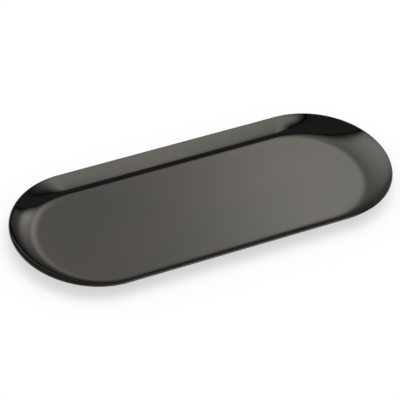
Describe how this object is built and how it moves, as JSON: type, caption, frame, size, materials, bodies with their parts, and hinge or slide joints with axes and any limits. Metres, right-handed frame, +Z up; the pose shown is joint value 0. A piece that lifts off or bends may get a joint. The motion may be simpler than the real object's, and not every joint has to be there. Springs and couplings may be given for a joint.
{
  "type": "serving tray",
  "caption": "Long shallow tray with round ends, a flat floor and a low curved wall, pressed from mirror-polished dark steel.",
  "frame": {"origin": "on the resting plane, under the middle of the floor", "axes": "+X along the tray's length, +Y across it, +Z up out of the open side"},
  "size_m": [0.305, 0.121, 0.0115],
  "materials": {
    "gunmetal_steel": "mirror-polished stainless steel with a thin dark gunmetal coat"
  },
  "bodies": {
    "root": {"pressed_tray": "gunmetal_steel"}
  },
  "joints": []
}
